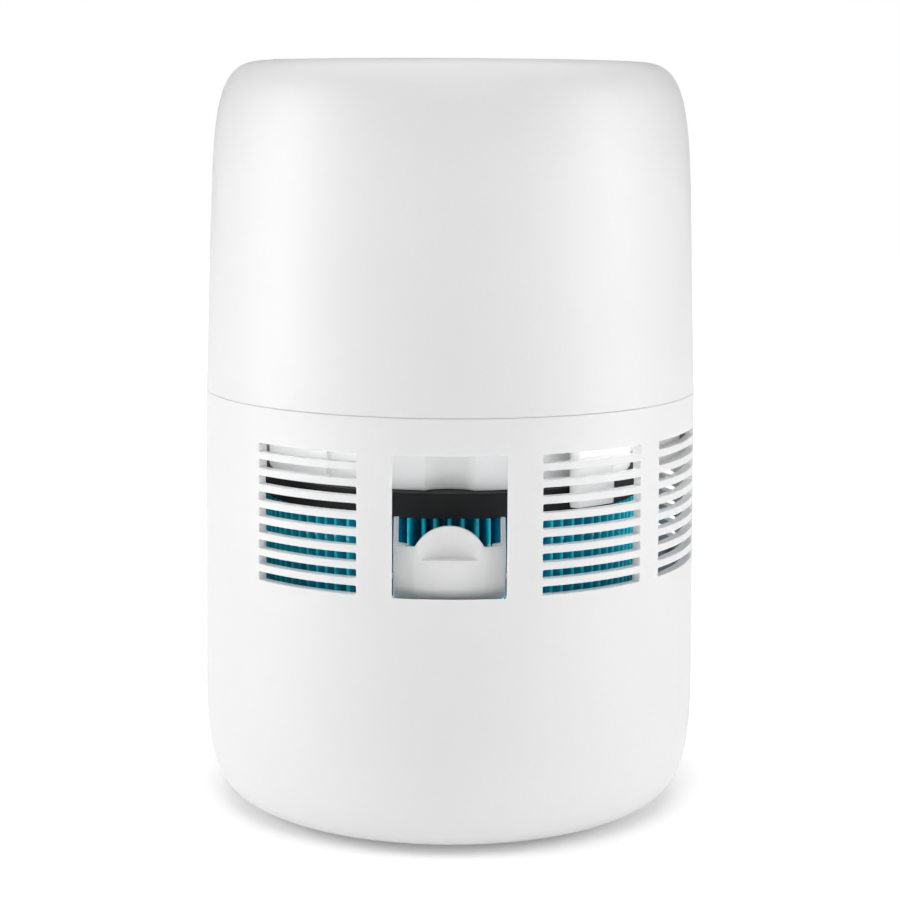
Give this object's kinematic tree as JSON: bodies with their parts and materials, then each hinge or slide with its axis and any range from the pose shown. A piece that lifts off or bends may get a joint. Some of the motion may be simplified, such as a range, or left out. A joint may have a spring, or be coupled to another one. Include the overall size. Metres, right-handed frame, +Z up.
{
  "type": "evaporative air purifier",
  "caption": "Round white evaporative air unit: louvred water tank with a tilt-out fill spout, pleated wick cartridge and lift-off fan head with top outlet and keys.",
  "frame": {"origin": "centre of the resting face, on the surface that the unit stands on", "axes": "+Z up; -Y towards the fill window; -X the plain front; +X the back with the power inlet"},
  "size_m": [0.2512, 0.2512, 0.3759],
  "materials": {
    "casing_white": "satin",
    "spout_white": "satin",
    "skirt_grey": "satin",
    "button_white": "satin",
    "ring_black": "gloss",
    "wick_teal": "matt",
    "core_white": "matt",
    "guide_white": "satin",
    "float_foam": "matt",
    "magnet_dark": "matt",
    "pad_rubber": "matt",
    "steel": "satin",
    "copper_winding": "gloss",
    "duct_grey": "satin",
    "fan_grey": "satin",
    "board_green": "satin",
    "component_black": "satin",
    "lens_black": "gloss"
  },
  "bodies": {
    "tank": {"tank_body": "casing_white", "foot_pads": "pad_rubber", "spout_hinge_rod": "steel", "float_guide": "guide_white", "float_guide_cap": "guide_white"},
    "spout": {"fill_spout": "spout_white"},
    "float": {"float_body": "float_foam", "float_magnet": "magnet_dark"},
    "wick": {"wick_media": "wick_teal", "wick_top_ring": "ring_black", "wick_bottom_ring": "ring_black", "wick_core": "core_white"},
    "head": {"head_shell": "casing_white", "head_base": "casing_white", "intake_skirt": "skirt_grey", "sensor_housing": "skirt_grey", "float_sensor": "component_black", "humidity_sensor": "component_black", "fan_duct": "duct_grey", "motor_mount": "duct_grey", "stator_core": "steel", "stator_coils": "copper_winding", "motor_bearings": "steel", "outlet_grille": "casing_white", "display_lens": "lens_black", "display_module": "component_black", "control_board": "board_green", "tact_switches": "component_black", "control_board_screws": "steel", "main_board": "board_green", "board_components": "component_black", "main_board_screws": "steel", "dc_jack": "component_black", "duct_screws": "steel", "base_screws": "steel"},
    "fan": {"fan_impeller": "fan_grey", "rotor_cup": "steel", "rotor_magnet": "magnet_dark", "motor_shaft": "steel", "shaft_clip": "steel"},
    "power_key": {"power_button": "button_white"},
    "speed_key": {"speed_button": "button_white"},
    "humidity_key": {"humidity_button": "button_white"},
    "timer_key": {"timer_button": "button_white"}
  },
  "joints": [
    {"name": "spout_tilt", "type": "hinge", "parent": "tank", "child": "spout", "pos_m": [0, -0.1065, 0.1355], "axis": [1, 0, 0], "range_deg": [0, 35]},
    {"name": "float_rise", "type": "slide", "parent": "tank", "child": "float", "axis": [0, 0, 1], "range_m": [0, 0.048]},
    {"name": "head_lift", "type": "slide", "parent": "tank", "child": "head", "axis": [0, 0, 1], "range_m": [0, 0.43]},
    {"name": "wick_lift", "type": "slide", "parent": "tank", "child": "wick", "axis": [0, 0, 1], "range_m": [0, 0.215]},
    {"name": "fan_spin", "type": "hinge", "parent": "head", "child": "fan", "pos_m": [0, 0, 0.277], "axis": [0, 0, 1], "continuous": true},
    {"name": "power_key_press", "type": "slide", "parent": "head", "child": "power_key", "axis": [0, 0, -1], "range_m": [0, 0.0008], "stiffness_N_per_m": 400, "springref_m": -0.0006},
    {"name": "speed_key_press", "type": "slide", "parent": "head", "child": "speed_key", "axis": [0, 0, -1], "range_m": [0, 0.0008], "stiffness_N_per_m": 400, "springref_m": -0.0006},
    {"name": "humidity_key_press", "type": "slide", "parent": "head", "child": "humidity_key", "axis": [0, 0, -1], "range_m": [0, 0.0008], "stiffness_N_per_m": 400, "springref_m": -0.0006},
    {"name": "timer_key_press", "type": "slide", "parent": "head", "child": "timer_key", "axis": [0, 0, -1], "range_m": [0, 0.0008], "stiffness_N_per_m": 400, "springref_m": -0.0006}
  ],
  "couplings": [
    {"joint": "wick_lift", "follows": "head_lift", "ratio": 0.5}
  ]
}
